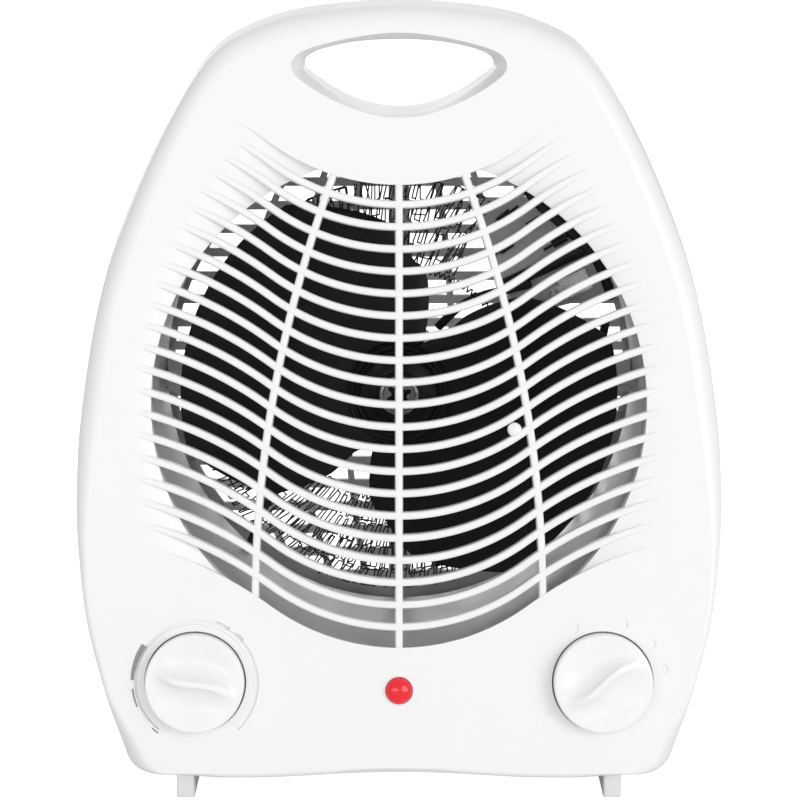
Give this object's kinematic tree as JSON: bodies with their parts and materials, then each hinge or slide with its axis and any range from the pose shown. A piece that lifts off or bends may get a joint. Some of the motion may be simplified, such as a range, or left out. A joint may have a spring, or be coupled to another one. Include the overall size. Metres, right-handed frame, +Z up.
{
  "type": "fan convector heater",
  "caption": "White plastic fan heater with a carry handle, curved slatted outlet, rear intake grille, dials, lamp and skid feet.",
  "frame": {"origin": "on the floor under the middle of the heater's box", "axes": "+Z up, the outlet grille and dials face -Y, +X to the right when looking at the outlet"},
  "size_m": [0.2122, 0.1182, 0.259],
  "materials": {
    "shell": "satin white moulded plastic",
    "dial": "glossy white moulded plastic",
    "lens": "clear red plastic, polished",
    "steel": "zinc-plated sheet steel",
    "wire": "oxidised resistance wire",
    "mica": "pressed mica sheet",
    "black": "black, matt",
    "copper": "enamelled copper winding",
    "ferrite": "ferrite magnet",
    "brass": "plain brass"
  },
  "bodies": {
    "casing": {"casing_screw_1": "steel", "casing_screw_2": "steel", "casing_screw_3": "steel", "casing_screw_4": "steel", "cord_inlet_bush": "black", "front_casing": "shell", "heater_duct": "steel", "heating_wire_inner": "wire", "heating_wire_middle": "wire", "heating_wire_outer": "wire", "lamp_body": "black", "lamp_lens": "lens", "left_foot": "shell", "mica_board_left": "mica", "mica_board_lower": "mica", "mica_board_right": "mica", "mica_board_upper": "mica", "mica_component_plate": "mica", "mode_control": "black", "motor_bracket": "steel", "motor_can": "steel", "motor_end_cap": "black", "motor_magnet_left": "ferrite", "motor_magnet_right": "ferrite", "motor_screw_1": "steel", "motor_screw_2": "steel", "rear_casing": "shell", "rectifier_diode_1": "black", "rectifier_diode_2": "black", "rectifier_diode_3": "black", "rectifier_diode_4": "black", "right_foot": "shell", "thermal_cutout": "steel", "thermal_fuse": "black", "thermostat_control": "black"},
    "thermostat_dial": {"thermostat_knob": "dial", "thermostat_spindle": "brass"},
    "mode_dial": {"mode_knob": "dial", "mode_spindle": "brass"},
    "fan_rotor": {"fan": "black", "fan_retaining_clip": "steel", "motor_shaft": "steel", "motor_armature": "copper"}
  },
  "joints": [
    {"name": "thermostat_turn", "type": "hinge", "parent": "casing", "child": "thermostat_dial", "pos_m": [-0.066, -0.04835, 0.04059], "axis": [0, 0.9924, -0.1231], "range_deg": [-75, 195]},
    {"name": "mode_turn", "type": "hinge", "parent": "casing", "child": "mode_dial", "pos_m": [0.066, -0.04835, 0.04059], "axis": [0, 0.9924, -0.1231], "range_deg": [0, 195]},
    {"name": "fan_spin", "type": "hinge", "parent": "casing", "child": "fan_rotor", "pos_m": [0, 0, 0.13], "axis": [0, 1, 0], "continuous": true}
  ]
}
